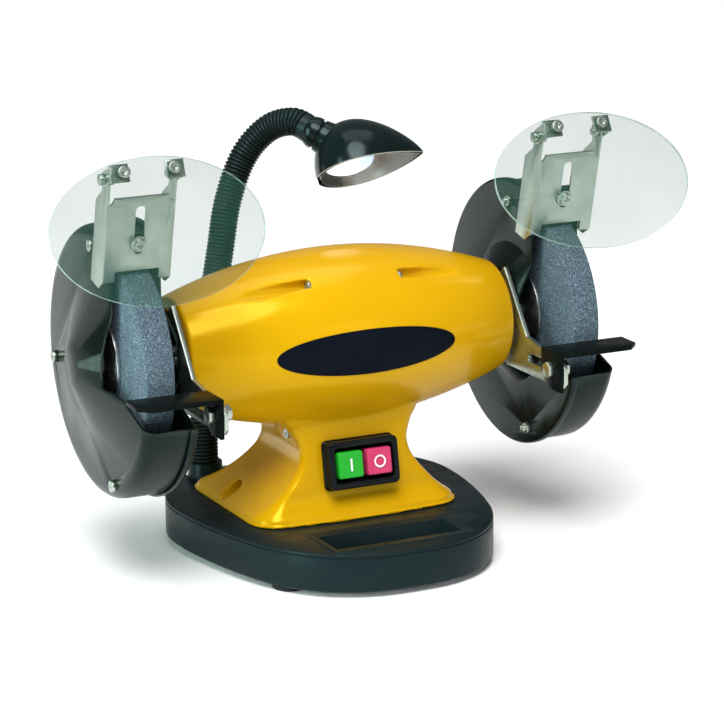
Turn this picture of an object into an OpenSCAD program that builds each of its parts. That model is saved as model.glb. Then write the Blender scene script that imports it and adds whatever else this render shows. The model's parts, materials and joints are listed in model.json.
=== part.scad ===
// Double-wheel bench grinder with a work lamp.
// Frame: origin on the bench, midway between the four feet and under the middle of the
// spindle. +X runs along the spindle, -Y is the front where the user stands, +Z is up.

/* [Wheels and spindle] */
// Diameter of each grinding wheel
wheel_d = 150; // [140:1:152]
// Width of each grinding wheel
wheel_w = 20; // [16:1:22]
// Distance from the middle of the grinder to the middle of each wheel
wheel_x = 159; // [158:0.5:160]
// Height of the spindle above the bench
spindle_z = 151.5; // [148:0.5:156]
// Diameter of the spindle where it carries the wheels
arbor_d = 12.7; // [12:0.1:13]

/* [Wheel guards] */
// Outer radius of the guard drum
guard_r = 93; // [90:0.5:95]
// Thickness of the guard sheet
guard_t = 1.6; // [1.2:0.1:2]
// Height of the cone that makes room for the spindle nut
boss_h = 17; // [15:0.5:18]
// Where the guard face is cut away in front of the spindle
face_cut_y = -31; // [-36:1:-28]

/* [Motor housing] */
// Wall of the two housing halves
shell_t = 3; // [2.5:0.1:3.5]
// Half length of the housing
housing_x = 122; // [120:1:123]
// Radius of the stator stack
stator_r = 50; // [46:1:51]
// Length of the stator stack
stator_l = 50; // [40:1:56]

/* [Base] */
// Height of the base wall
base_h = 27; // [25:1:30]
// Wall of the base shell
base_t = 3; // [2.5:0.1:3.5]
// Height of the rubber feet below the base
foot_h = 4; // [3:0.5:6]
// Distance between the feet along the spindle
bolt_x = 140; // [130:1:146]
// Distance between the feet from front to back
bolt_y = 152; // [146:1:156]
// Diameter of the bench bolt holes
bolt_hole_d = 6.6; // [6:0.1:7]

/* [Eye shields] */
// Half width of the clear shield
shield_a = 74.5; // [70:0.5:76]
// Half height of the clear shield
shield_b = 49; // [46:0.5:52]
// Thickness of the clear shield
shield_t = 2.5; // [2:0.1:3]
// Tilt of the left shield from the vertical
tilt_left = 21.5; // [16:0.5:28]
// Tilt of the right shield from the vertical
tilt_right = 30; // [20:0.5:34]

/* [Lamp] */
// Outer diameter of the flexible arm
hose_d = 20; // [18:0.5:21]
// Length of the lamp shade
shade_l = 77.5; // [74:0.5:80]

/* [Hidden] */
$fn = 64;
yellow = [0.92, 0.68, 0.05];
black = [0.09, 0.10, 0.11];
zinc = [0.72, 0.76, 0.72];
steel = [0.62, 0.64, 0.66];
cast = [0.66, 0.67, 0.68];
rubber = [0.06, 0.06, 0.06];

base_top = foot_h + base_h;
arm_x = 124.5;                      // inner face of the tool-rest arms
arm_t = 3;
hub_x = arm_x + arm_t;              // where the inner guards are bolted on
guard_x = 139.5;                    // rim of the inner guards
face_x = 176;                       // rim face of the outer covers
edge_r = 9;                         // rounding of the cover's rim
flange_r = 30;                      // clamping flanges of the wheels
flange_w = 6;
nose_r = 27;                        // end bell nose
bolt_circle = 53;                   // radius of the motor bolts' ring
lug_t = 6;                          // lugs that take the motor bolts and the upper housing screws
bearing_r = 17.5;
bearing_w = 11;
bearing_x = 110.5;
journal_r = 7.5;                    // spindle inside the motor
shoulder_x = wheel_x - wheel_w / 2 - flange_w;
cover_points = [[0, 80], [77, -13], [-28, -79]];   // cover screws, [y, height above spindle]
bracket_lean = 13.8;                // forward lean of the shield brackets
bracket_z = 62;                     // lower edge of the brackets above the spindle
bracket_y = -36;
bracket_h = 60;
bracket_w = 48;
bracket_screw_z = 26.2;             // screw of the height slot, up the bracket
bracket_screw_d = 5;
pivot_y = -48.5;                    // shield hinge, from the spindle
pivot_z = 133.5;
shield_drop = 39.5;                 // hinge to the middle of the shield
shield_off = 14;                    // hinge to the plane of the shield
rest_z = -7;                        // top of the tool rests below the spindle
rest_slot_z = -20;
rest_bolt_y = -92;
switch_z = spindle_z - 83;
switch_y = -37.9;                   // the neck's front face at that height
switch_lean = 10;                   // how far that face leans back
switch_w = 54;
switch_h = 35;
switch_deep = 11.4;                 // how far the frame stands out from the neck

// Right half of the base outline, from the front middle round to the rear middle
base_half = [
    [0, -128], [27, -126], [53, -115.5], [73, -97], [87, -72], [95.5, -46],
    [102.5, -14], [107, 20], [106.5, 49], [98.5, 73], [86, 93], [68, 107], [38, 115.5]
];
base_rear = [0, 117];

// Neck of the housing: [height below spindle, half width, front, rear, corner radius, bow]
neck_rings = [
    [-40, 60, -38, 38, 14, 0], [-50, 56, -35.5, 37, 12, 0], [-57, 49.5, -34.5, 36, 9, 0],
    [-64, 43.5, -34.5, 36, 7, 0], [-72, 41, -35.9, 38, 6, 0], [-81, 42.3, -37.5, 42, 5, 0],
    [-89, 47, -38.9, 47, 5, 0], [-97, 53.5, -40.3, 53, 5, 0], [-104, 60.5, -41.7, 61, 6, 1],
    [-110, 68, -45.4, 70, 7, 3.5], [-114, 74, -48, 78, 8, 5], [-116, 76, -49.3, 81, 9, 5],
    [base_top - spindle_z, 77.5, -50.5, 82, 10, 6]
];

function unit2(v) = v / norm(v);

// Closed Catmull-Rom curve through the given points, with steps points per span
function smooth_ring(p, steps) = let (n = len(p)) [
    for (i = [0 : n - 1], k = [0 : steps - 1])
        let (a = p[(i + n - 1) % n], b = p[i], c = p[(i + 1) % n], d = p[(i + 2) % n], t = k / steps)
            0.5 * (2 * b + (c - a) * t + (2 * a - 5 * b + 4 * c - d) * t * t
                + (3 * b - a - 3 * c + d) * t * t * t)
];

// Moves every point of an anticlockwise ring inwards
function inset_ring(p, d) = let (n = len(p)) [
    for (i = [0 : n - 1])
        let (v = unit2(p[(i + 1) % n] - p[(i + n - 1) % n])) p[i] + d * [-v[1], v[0]]
];

// Rectangle from x = -w to w and y = f to r with round corners and a bowed front edge
function neck_ring(w, f, r, c, bow) = [
    for (q = [[w - c, f + c, -90], [w - c, r - c, 0], [c - w, r - c, 90], [c - w, f + c, 180]])
        each concat(
            [for (a = [0 : 22.5 : 90]) [q[0] + c * cos(q[2] + a), q[1] + c * sin(q[2] + a)]],
            q[2] == 180 ? [for (k = [1 : 7]) [(c - w) * (1 - k / 4), f]] : [])
];
function bowed(ring, f, bow, w) = [
    for (p = ring) [p[0], p[1] < 0 ? p[1] + bow * pow(p[0] / w, 2) : p[1]]
];
function at_height(ring, z) = [for (p = ring) [p[0], p[1], z]];
function reversed(list) = [for (i = [len(list) - 1 : -1 : 0]) list[i]];
function mirrored(list) = [for (p = reversed(list)) [-p[0], p[1]]];
function arc2(x, y, r, a, b, n) = [
    for (i = [0 : n]) let (t = a + (b - a) * i / n) [x + r * cos(t), y + r * sin(t)]
];
function housing_r(x) = 61 - 22.3 * pow(x / housing_x, 2);

base_ring = smooth_ring(concat(base_half, [base_rear], mirrored([for (i = [1 : 12]) base_half[i]])), 5);

// Middle of a ring of points
function middle(p) = [for (q = p) 1] * p / len(p);

// Skin over a stack of rings that all have the same number of points, lowest ring first
module loft(rings) {
    n = len(rings[0]);
    m = len(rings);
    walls = [
        for (i = [0 : m - 2], j = [0 : n - 1])
            let (a = i * n + j, b = i * n + (j + 1) % n) each [[a, a + n, b + n], [a, b + n, b]]
    ];
    caps = [
        for (j = [0 : n - 1])
            let (k = (j + 1) % n) each [[m * n, j, k], [m * n + 1, (m - 1) * n + k, (m - 1) * n + j]]
    ];
    points = concat([for (ring = rings) each ring], [middle(rings[0]), middle(rings[m - 1])]);
    polyhedron(points, concat(walls, caps));
}

// Rod along X from x to x + l
module rod_x(r, x, l, y = 0, z = spindle_z) {
    translate([x, y, z]) rotate([0, 90, 0]) cylinder(r = r, h = l);
}

// Profile of [radius, x] points turned about the spindle
module turned(profile) {
    translate([0, 0, spindle_z]) rotate([0, 90, 0]) rotate_extrude($fn = 96) polygon(profile);
}

// Flat outline of [y, height above spindle] points, extruded from x to x + t
module plate_x(x, t) {
    translate([x, 0, spindle_z]) rotate([90, 0, 90]) linear_extrude(t) children();
}

module on_side(s) {
    if (s > 0) children();
    else mirror([1, 0, 0]) children();
}

module both_sides() {
    for (s = [-1, 1]) on_side(s) children();
}

// Pan-head screw along +Z with its head on top of z = 0
module pan_screw(d, l, head_d, head_h) {
    translate([0, 0, -l]) cylinder(d = d, h = l);
    difference() {
        cylinder(d = head_d, h = head_h);
        for (a = [0, 90]) rotate(a)
            translate([-head_d * 0.28, -0.4, head_h - 1]) cube([head_d * 0.56, 0.8, 2]);
    }
}

module hex_nut(across, h, bore_d) {
    difference() {
        cylinder(d = across / cos(30), h = h, $fn = 6);
        if (bore_d > 0) translate([0, 0, -1]) cylinder(d = bore_d, h = h + 2);
    }
}

// Puts +Z of the children along the way from p to q, starting at p
module aimed(p, q) {
    d = q - p;
    translate(p) rotate([0, acos(d[2] / norm(d)), atan2(d[1], d[0])]) children();
}

// ---- base ----

module foot_places() {
    for (x = [-1, 1], y = [-1, 1]) translate([x * bolt_x / 2, y * bolt_y / 2, 0]) children();
}

plate_screw_places = [[-92, 20], [92, 20], [0, -112], [-20, 106]];

module base() {
    flange = pockets[3];
    color(black) difference() {
        union() {
            difference() {
                translate([0, 0, foot_h]) linear_extrude(base_h) polygon(base_ring);
                translate([0, 0, foot_h - 1]) linear_extrude(base_h + 1 - base_t)
                    polygon(inset_ring(base_ring, base_t));
            }
            // nut boxes over the feet and posts for the bottom plate's screws
            foot_places() translate([0, 0, foot_h + 2]) cylinder(r = 10, h = base_h - 3);
            for (p = plate_screw_places)
                translate([p[0], p[1], foot_h + 2]) cylinder(r = 4.5, h = base_h - 3);
            // swarf tray
            translate([-50, -106, foot_h + 9]) cube([100, 36, base_h - 10]);
            // lamp post
            translate([-58, 95, foot_h + 2]) cylinder(r = 13, h = base_h - 3);
            // upstands that take the housing's lowest screws
            both_sides() translate([38, flange[0] - 5, base_top - 1])
                cube([flange[2] - screw_seat_t - 38, 10, spindle_z + flange[1] + 6 - base_top]);
            // cord inlet block
            translate([52, 104, foot_h + 3]) cube([20, 12.5, base_h - 5]);
        }
        foot_places() {
            translate([0, 0, -1]) cylinder(d = bolt_hole_d, h = foot_h + 18);
            translate([0, 0, foot_h + 7.9]) rotate(30) cylinder(d = 12, h = 5.4, $fn = 6);
        }
        for (p = plate_screw_places) translate([p[0], p[1], 0]) cylinder(d = 2.8, h = foot_h + 14);
        translate([-48, -104, foot_h + 11]) cube([96, 32, base_h]);
        translate([-58, 95, -1]) cylinder(d = 12, h = base_top + 2);
        translate([62, 95, 17]) rotate([-90, 0, 0]) cylinder(d = 14, h = 30);
        translate([62, 98, 17]) rotate([-90, 0, 0]) cylinder(r = 9.4, h = 6);
        both_sides() rod_x(screw_r, 39, 20, flange[0], spindle_z + flange[1]);
        // wire opening under the housing
        translate([-22, 2, foot_h + 10]) cube([44, 40, base_h]);
        for (x = [-1, 1]) translate([x * 50, 48, foot_h + 10]) cylinder(d = 4.4, h = base_h);
    }
}

module foot_nuts() {
    color(steel) foot_places() translate([0, 0, foot_h + 8]) rotate(30) hex_nut(10, 5, bolt_hole_d);
}

module bottom_plate() {
    color(steel) difference() {
        translate([0, 0, foot_h]) linear_extrude(1.5) polygon(inset_ring(base_ring, base_t + 0.4));
        foot_places() translate([0, 0, -1]) cylinder(d = bolt_hole_d, h = 20);
        for (p = plate_screw_places) translate([p[0], p[1], -1]) cylinder(d = 4, h = 20);
        for (x = [-30 : 12 : 30]) translate([x - 2, -30, 0]) cube([4, 50, 20]);
    }
}

module feet() {
    color(rubber) foot_places() difference() {
        union() {
            translate([0, 0, 0.8]) cylinder(r = 12, h = foot_h - 0.8);
            cylinder(r1 = 11.2, r2 = 12, h = 0.8);
        }
        translate([0, 0, -1]) cylinder(d = bolt_hole_d, h = foot_h + 2);
    }
}

module bottom_screws() {
    color(zinc) for (p = plate_screw_places)
        translate([p[0], p[1], foot_h]) mirror([0, 0, 1]) pan_screw(2.8, 12, 7, 2);
}

module cord_grommet() {
    color(rubber) translate([62, 0, 17]) rotate([-90, 0, 0]) difference() {
        union() {
            translate([0, 0, 102]) cylinder(r = 9, h = 2);
            translate([0, 0, 104]) cylinder(r = 7, h = 13);
            translate([0, 0, 117]) cylinder(r = 9.5, h = 2.5);
        }
        translate([0, 0, 100]) cylinder(r = 3.9, h = 22);
    }
}

module capacitor() {
    color([0.80, 0.80, 0.76]) {
        rod_x(13, -27, 52, 16, 50);
        for (y = [11, 21]) rod_x(1, -33, 8, y, 50);
    }
}

module capacitor_clip() {
    color(zinc) difference() {
        union() {
            rod_x(14, -7, 14, 16, 50);
            translate([-7, 4, base_top]) cube([14, 24, 6]);
            translate([-7, -14, base_top]) cube([14, 20, 1.5]);
        }
        rod_x(13, -8, 16, 16, 50);
        translate([-8, 5.5, base_top - 1]) cube([16, 21, 4]);
        translate([0, -7, base_top - 1]) cylinder(d = 4, h = 4);
    }
}

module terminal_block() {
    color([0.85, 0.85, 0.82]) difference() {
        translate([18, 50, foot_h + 1.5]) cube([42, 18, 14]);
        for (x = [25 : 7 : 53]) {
            translate([x, 54, foot_h + 6]) cylinder(d = 4, h = 12);
            translate([x, 64, foot_h + 6]) cylinder(d = 4, h = 12);
        }
    }
}

// ---- housing ----

module barrel_outer(d) {
    n = 24;
    turned(concat(
        [[0, -housing_x + d]],
        [for (i = [0 : n]) let (x = housing_x - 2 * housing_x * i / n)
            [housing_r(x) - d, -x * (1 - d / housing_x)]],
        [[0, housing_x - d]]));
}

module neck_outer(d) {
    loft([
        for (i = [len(neck_rings) - 1 : -1 : 0]) let (q = neck_rings[i])
            at_height(bowed(
                neck_ring(q[1] - d, q[2] + d, q[3] - d, max(q[4] - d, 1.5), q[5]),
                q[2], q[5], q[1]), spindle_z + q[0] - (i == len(neck_rings) - 1 ? d / 2 : 0))
    ]);
}

module housing_shape(d) {
    barrel_outer(d);
    neck_outer(d);
}

screw_r = 1.75;                     // housing screws
// Screw pockets of the right half: [y, height above spindle, x of the seat, radius]
pockets = [[-34, 43.5, 33, 4.6], [34, 43.5, 33, 4.6], [-18, -62, 43, 4.8], [25, -110.5, 54, 6]];
screw_seat_t = 3;

module housing_half() {
    difference() {
        intersection() {
            union() {
                difference() {
                    housing_shape(0);
                    housing_shape(shell_t);
                    translate([-70, -44, base_top - 5]) cube([140, 120, 6 + shell_t]);
                }
                // screw seats
                intersection() {
                    housing_shape(0.2);
                    for (p = pockets)
                        rod_x(p[3] + 2, p[2] - screw_seat_t, 60, p[0], spindle_z + p[1]);
                }
                // saddle ring that grips the end bell's nose
                intersection() {
                    housing_shape(0.2);
                    difference() {
                        rod_x(45, 106, 3);
                        rod_x(nose_r, 100, 20);
                    }
                }
                // posts that take the screws from the base
                translate([50, 48, base_top]) cylinder(r = 5, h = 18);
            }
            translate([0.02, -150, 0]) cube([200, 300, 300]);
        }
        for (p = pockets) {
            rod_x(p[3], p[2], 90, p[0], spindle_z + p[1]);
            rod_x(screw_r, p[2] - 12.5, 20, p[0], spindle_z + p[1]);
        }
        rod_x(nose_r, 100, 40);
        translate([50, 48, base_top - 1]) cylinder(d = 3.4, h = 14);
        // switch opening
        translate([-1, -60, switch_z - 15.5]) cube([25.5, 45, 31]);
        // room for the lug of the end bell
        for (p = pockets) if (p[1] > 0)
            rod_x(4.3, stator_l / 2 - 1, p[2] - screw_seat_t - stator_l / 2 + 2, p[0], spindle_z + p[1]);
    }
}

module housing_left() color(yellow) on_side(-1) housing_half();
module housing_right() color(yellow) housing_half();

module housing_screws() {
    color(zinc) {
        both_sides() for (p = pockets) translate([p[2], p[0], spindle_z + p[1]]) rotate([0, 90, 0])
            pan_screw(2 * screw_r, 12, 7, 2.2);
        // sleeve between the two neck screws
        neck = pockets[2];
        sleeve = 39.5;
        difference() {
            rod_x(4, -sleeve, 2 * sleeve, neck[0], spindle_z + neck[1]);
            rod_x(screw_r, -sleeve - 1, 2 * sleeve + 2, neck[0], spindle_z + neck[1]);
        }
        for (x = [-50, 50]) translate([x, 48, base_top - base_t]) mirror([0, 0, 1]) pan_screw(3.4, 15, 8, 2.4);
    }
}

module decal() {
    // thin oval plate wrapped on the front of the barrel
    color([0.10, 0.12, 0.15]) intersection() {
        difference() {
            barrel_outer(-0.5);
            barrel_outer(0);
        }
        translate([0, -20, spindle_z]) rotate([90, 0, 0]) linear_extrude(60)
            polygon([for (a = [0 : 6 : 354]) [67 * cos(a), 15.5 * sin(a)]]);
    }
}

// ---- switch ----

module rounded_box(w, h, r, t) {
    linear_extrude(t) union() {
        square([w - 2 * r, h], center = true);
        square([w, h - 2 * r], center = true);
        for (x = [-1, 1], y = [-1, 1]) translate([x * (w / 2 - r), y * (h / 2 - r)]) circle(r);
    }
}

module at_switch() translate([0, switch_y, switch_z]) rotate([90 - switch_lean, 0, 0]) children();

module switch_frame() {
    color(black) at_switch() difference() {
        union() {
            rounded_box(switch_w, switch_h, 4, 3);
            translate([0, 0, 3]) rounded_box(switch_w - 2, switch_h - 2, 4, switch_deep - 3);
        }
        translate([0, 0, -2]) rounded_box(44, 24, 2, switch_deep + 4);
    }
}

module switch_body() {
    color([0.15, 0.15, 0.16]) at_switch() difference() {
        union() {
            translate([-21.8, -11.8, -24]) cube([43.6, 23.6, 24]);
            translate([-23.5, -14, -2]) cube([47, 28, 2]);
            for (x = [-12 : 8 : 12]) translate([x - 2.4, -3, -32]) cube([0.8, 6, 9]);
        }
        for (x = [-10.8, 10.8]) translate([x - 9.5, -9.5, -10]) cube([19, 19, 12]);
    }
}

module button(x) {
    at_switch() translate([x, 0, 0]) {
        translate([-9.2, -9.2, -5]) cube([18.4, 18.4, switch_deep + 5.2]);
        translate([-8.8, -8.8, switch_deep + 0.2]) cube([17.6, 17.6, 1.2]);
    }
}

module on_button() {
    color([0.20, 0.70, 0.24]) union() {
        button(-10.8);
        at_switch() translate([-10.8 - 0.6, -4.5, switch_deep + 1.4]) cube([1.2, 9, 0.35]);
    }
}

module off_button() {
    color([0.80, 0.24, 0.42]) union() {
        button(10.8);
        at_switch() translate([10.8, 0, switch_deep + 1.4]) difference() {
            cylinder(r = 4.4, h = 0.35);
            translate([0, 0, -1]) cylinder(r = 3.2, h = 3);
        }
    }
}

// ---- motor ----

module stator() {
    color([0.45, 0.46, 0.48]) difference() {
        rod_x(stator_r, -stator_l / 2, stator_l);
        rod_x(30.2, -stator_l / 2 - 1, stator_l + 2);
        for (a = [0 : 15 : 345]) translate([-stator_l / 2 - 1, 0, spindle_z]) rotate([a, 0, 0])
            translate([0, 31, -2]) cube([stator_l + 2, 9, 4]);
    }
}

module windings() {
    color([0.72, 0.42, 0.18]) both_sides()
        turned(concat([[33, stator_l / 2 + 0.3], [44, stator_l / 2 + 0.3]],
            arc2(41, stator_l / 2 + 11, 3.5, 0, 90, 4), arc2(36, stator_l / 2 + 11, 3, 90, 180, 4)));
}

module end_bell() {
    s = stator_l / 2;
    difference() {
        union() {
            turned([[44.9, s], [50.6, s], [50.6, s + 4.5], [46.9, s + 4.5], [46.9, s + 30], [nose_r, s + 58],
                [nose_r, arm_x], [12, arm_x], [12, bearing_x + bearing_w], [bearing_r, bearing_x + bearing_w],
                [bearing_r, bearing_x], [10, bearing_x], [10, bearing_x - 4], [22, bearing_x - 4],
                [22, s + 56], [44.9, s + 28]]);
            for (a = [0 : 90 : 270]) translate([s, 0, spindle_z]) rotate([a, 0, 0])
                translate([0, bolt_circle, 0]) rotate([0, 90, 0]) cylinder(r = 3.4, h = lug_t);
            for (p = pockets) if (p[1] > 0) difference() {
                rod_x(4, s, lug_t, p[0], spindle_z + p[1]);
                rod_x(screw_r, s - 1, lug_t + 2, p[0], spindle_z + p[1]);
            }
        }
        for (a = [0 : 90 : 270]) translate([s - 1, 0, spindle_z]) rotate([a, 0, 0])
            translate([0, bolt_circle, 0]) rotate([0, 90, 0]) cylinder(r = 2, h = lug_t + 2);
        for (a = [0 : 45 : 315]) translate([s + 30, 0, spindle_z]) rotate([a + 22, 0, 0])
            translate([0, 20, -5]) cube([24, 40, 10]);
        for (a = [90 : 120 : 330]) translate([arm_x - 14, 0, spindle_z]) rotate([a, 0, 0])
            translate([0, 0, 22]) rotate([0, 90, 0]) cylinder(r = 2.25, h = 20);
    }
}

module end_bell_left() color(cast) on_side(-1) end_bell();
module end_bell_right() color(cast) end_bell();

module motor_bolts() {
    s = stator_l / 2 + lug_t;
    color(steel) for (a = [0 : 90 : 270]) translate([0, 0, spindle_z]) rotate([a, 0, 0])
        translate([0, bolt_circle, 0]) rotate([0, 90, 0]) {
            translate([0, 0, -s]) cylinder(r = 2, h = 2 * s + 4);
            translate([0, 0, -s - 2.6]) cylinder(r = 3.1, h = 2.6);
            translate([0, 0, s]) hex_nut(6, 2.6, 0);
        }
}

module bearing_outer_rings() {
    color(steel) both_sides() difference() {
        rod_x(bearing_r, bearing_x, bearing_w);
        rod_x(14.6, bearing_x - 1, bearing_w + 2);
    }
}

module bearing_inner_rings() {
    color(steel) both_sides() difference() {
        rod_x(10.4, bearing_x, bearing_w);
        rod_x(journal_r, bearing_x - 1, bearing_w + 2);
    }
}

module bearing_balls() {
    color(steel) both_sides() for (a = [0 : 45 : 315])
        translate([bearing_x + bearing_w / 2, 0, spindle_z]) rotate([a, 0, 0])
            translate([0, 12.45, 0]) sphere(r = 2.05, $fn = 32);
}

module rotor() {
    color([0.52, 0.53, 0.55]) difference() {
        union() {
            rod_x(29.7, -stator_l / 2, stator_l);
            rod_x(26, -stator_l / 2 - 8, stator_l + 16);
            for (a = [0 : 45 : 315]) translate([0, 0, spindle_z]) rotate([a, 0, 0])
                translate([-stator_l / 2 - 14, 14, -1]) cube([stator_l + 28, 11, 2]);
        }
        rod_x(journal_r, -60, 120);
    }
}

module spindle() {
    color(steel) union() {
        rod_x(journal_r, -shoulder_x, 2 * shoulder_x);
        rod_x(arbor_d / 2, -184, 368);
    }
}

// ---- wheels ----

module wheel_flange(x, out) {
    // dished clamping flange: only its rim bears on the wheel
    bore = arbor_d / 2;
    turned(out > 0
        ? [[bore, x], [flange_r - 7, x], [flange_r, x + 3.5], [flange_r, x + flange_w],
            [flange_r - 8, x + flange_w], [flange_r - 9, x + flange_w - 1.2], [bore, x + flange_w - 1.2]]
        : [[bore, x + 1.2], [flange_r - 9, x + 1.2], [flange_r - 8, x], [flange_r, x],
            [flange_r, x + 2.5], [flange_r - 7, x + flange_w], [bore, x + flange_w]]);
}

module inner_flanges() color(steel) both_sides() wheel_flange(shoulder_x, 1);
module outer_flanges() color(steel) both_sides() wheel_flange(wheel_x + wheel_w / 2, -1);

module wheel() {
    x0 = wheel_x - wheel_w / 2;
    r = wheel_d / 2;
    turned([[arbor_d / 2, x0], [r - 0.6, x0], [r, x0 + 0.6], [r, x0 + wheel_w - 0.6],
        [r - 0.6, x0 + wheel_w], [arbor_d / 2, x0 + wheel_w]]);
}

module wheel_left() color([0.42, 0.47, 0.54]) on_side(-1) wheel();
module wheel_right() color([0.42, 0.47, 0.54]) wheel();

module spindle_nuts() {
    color(zinc) both_sides()
        translate([wheel_x + wheel_w / 2 + flange_w, 0, spindle_z]) rotate([0, 90, 0]) hex_nut(19, 7, arbor_d);
}

// ---- guards ----

// Open front of the guard, [y, height above spindle]
module throat_outline() {
    polygon([[-38, 110], [-38, -12.3], [-88, -29], [-120, -29], [-120, 110]]);
}
module face_outline() {
    polygon([[face_cut_y, 110], [face_cut_y, -10], [-88, -29], [-120, -29], [-120, 110]]);
}

module inner_guard() {
    t = guard_t;
    r = guard_r + 2;
    difference() {
        turned(concat(
            [[14, hub_x], [34, hub_x], [50, guard_x], [r - 2, guard_x]], arc2(r - 2, guard_x + 2, 2, -90, 0, 4),
            [[r, guard_x + 5], [r - t, guard_x + 5], [r - t, guard_x + t], [50 - t * 0.4, guard_x + t],
                [34 - t * 0.4, hub_x + t], [14, hub_x + t]]));
        plate_x(guard_x - 1, 12) throat_outline();
        plate_x(guard_x - 13, 13 + t) face_outline();
        for (a = [90 : 120 : 330]) translate([hub_x - 1, 0, spindle_z]) rotate([a, 0, 0])
            translate([0, 0, 22]) rotate([0, 90, 0]) cylinder(r = 2.3, h = 5);
        for (p = cover_points) rod_x(2.2, guard_x - 1, 6, p[0], spindle_z + p[1]);
    }
}

module inner_guard_left() color(black) on_side(-1) inner_guard();
module inner_guard_right() color(black) inner_guard();

module guard_cover() {
    t = guard_t;
    r = guard_r;
    top = face_x + boss_h;
    difference() {
        turned(concat(
            [[0, top - t], [13 - t, top - t], [50 - t * 0.4, face_x - t], [r - edge_r, face_x - t]],
            arc2(r - edge_r, face_x - edge_r, edge_r - t, 90, 0, 6),
            [[r - t, guard_x + t], [r, guard_x + t]],
            arc2(r - edge_r, face_x - edge_r, edge_r, 0, 90, 6),
            [[50, face_x], [13, top], [0, top]]));
        plate_x(guard_x - 1, 80) throat_outline();
        plate_x(face_x - edge_r, 40) face_outline();
        for (p = cover_points) rod_x(2.2, face_x - 6, 12, p[0], spindle_z + p[1]);
    }
    // tab that carries the shield bracket
    at_bracket() difference() {
        translate([-14, 1.5, 11]) cube([28, 2.5, 23]);
        translate([0, 0, bracket_screw_z]) rotate([-90, 0, 0]) cylinder(d = bracket_screw_d, h = 6);
    }
}

// Frame of a shield bracket: origin at the middle of its lower edge, +Z up its face
module at_bracket() {
    translate([wheel_x, bracket_y, spindle_z + bracket_z]) rotate([bracket_lean, 0, 0]) children();
}

module guard_cover_left() color([0.24, 0.29, 0.28]) on_side(-1) guard_cover();
module guard_cover_right() color([0.24, 0.29, 0.28]) guard_cover();

module guard_bolts() {
    color(steel) both_sides() for (a = [90 : 120 : 330]) translate([hub_x + guard_t, 0, spindle_z])
        rotate([a, 0, 0]) translate([0, 0, 22]) rotate([0, 90, 0]) pan_screw(4.5, 15, 9, 3);
}

module cover_screws() {
    color(zinc) both_sides() for (p = cover_points) translate([0, p[0], spindle_z + p[1]]) {
        rod_x(2.1, guard_x - 6, face_x - guard_x + 6, 0, 0);
        translate([face_x, 0, 0]) rotate([0, 90, 0]) pan_screw(4, 2, 8, 2.4);
        translate([guard_x - 3.4, 0, 0]) rotate([0, 90, 0]) hex_nut(7, 3.4, 0);
    }
}

// ---- tool rests ----

module rest_arm() {
    difference() {
        union() {
            rod_x(nose_r + 3, arm_x, arm_t);
            plate_x(arm_x, arm_t) polygon([[-18, 37], [-24, 30], [-51, -6], [-77, -10.4], [-101, -13.6],
                [-105, -17], [-105, -28], [-101, -32], [-24, -32], [-10, -29], [-8, 29]]);
        }
        rod_x(13, arm_x - 1, arm_t + 2);
        plate_x(arm_x - 1, arm_t + 2) union() {
            translate([-98, rest_slot_z - 3.2]) square([41, 6.4]);
            for (y = [-98, -57]) translate([y, rest_slot_z]) circle(3.2);
        }
        for (a = [90 : 120 : 330]) translate([arm_x - 1, 0, spindle_z]) rotate([a, 0, 0])
            translate([0, 0, 22]) rotate([0, 90, 0]) cylinder(r = 2.3, h = arm_t + 2);
    }
}

module rest_arm_left() color(zinc) on_side(-1) rest_arm();
module rest_arm_right() color(zinc) rest_arm();

// Tool rest: flat table with a bent-down flange that lies against the arm.
// from is the plane of the flange, to is the outer end of the table.
module tool_rest(from, to) {
    t = 3;
    y0 = -105;
    y1 = -77.5;
    difference() {
        union() {
            translate([from, 0, spindle_z + rest_z - t]) linear_extrude(t) polygon([
                [0, y0], [to - from - 8, y0], [to - from, y0 + 8], [to - from, y1], [0, y1]]);
            plate_x(from, t) polygon([[y0, rest_z], [y0, -34], [-90, -34], [y1, -24], [y1, rest_z]]);
        }
        rod_x(rest_bolt_d / 2 + 0.05, from - 1, t + 2, rest_bolt_y, spindle_z + rest_slot_z);
    }
}

module tool_rest_left() color(black) on_side(-1) tool_rest(arm_x + arm_t + 0.1, 185.5);
module tool_rest_right() color(black) tool_rest(arm_x - 3.1, 185.5);

rest_bolt_d = 6;

// Hex bolt through the tool rest and the slot of its arm. Built for the right side, where the
// head lies under the table; x_head is the bearing face of the head, x_nut that of the nut.
module rest_bolt(x_head, x_nut) {
    translate([0, rest_bolt_y, spindle_z + rest_slot_z]) {
        rod_x(rest_bolt_d / 2, x_head, x_nut - x_head + 7, 0, 0);
        translate([x_head - 4, 0, 0]) rotate([0, 90, 0]) hex_nut(10, 4, 0);
        translate([x_nut, 0, 0]) rotate([0, 90, 0]) {
            cylinder(r = 6.2, h = 1.2);
            translate([0, 0, 1.2]) hex_nut(10, 4.6, 0);
        }
    }
}

module rest_bolt_left() color(zinc) rest_bolt(-arm_x - 6.2, -arm_x + 0.1);
module rest_bolt_right() color(zinc) rest_bolt(arm_x - 3.2, hub_x + 0.1);

// ---- shield brackets ----

bracket_t = 1.5;
pivot_dy = pivot_y - bracket_y;
pivot_dz = pivot_z - bracket_z;
ear_y = pivot_dy * cos(bracket_lean) + pivot_dz * sin(bracket_lean);
ear_z = pivot_dz * cos(bracket_lean) - pivot_dy * sin(bracket_lean);

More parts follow.
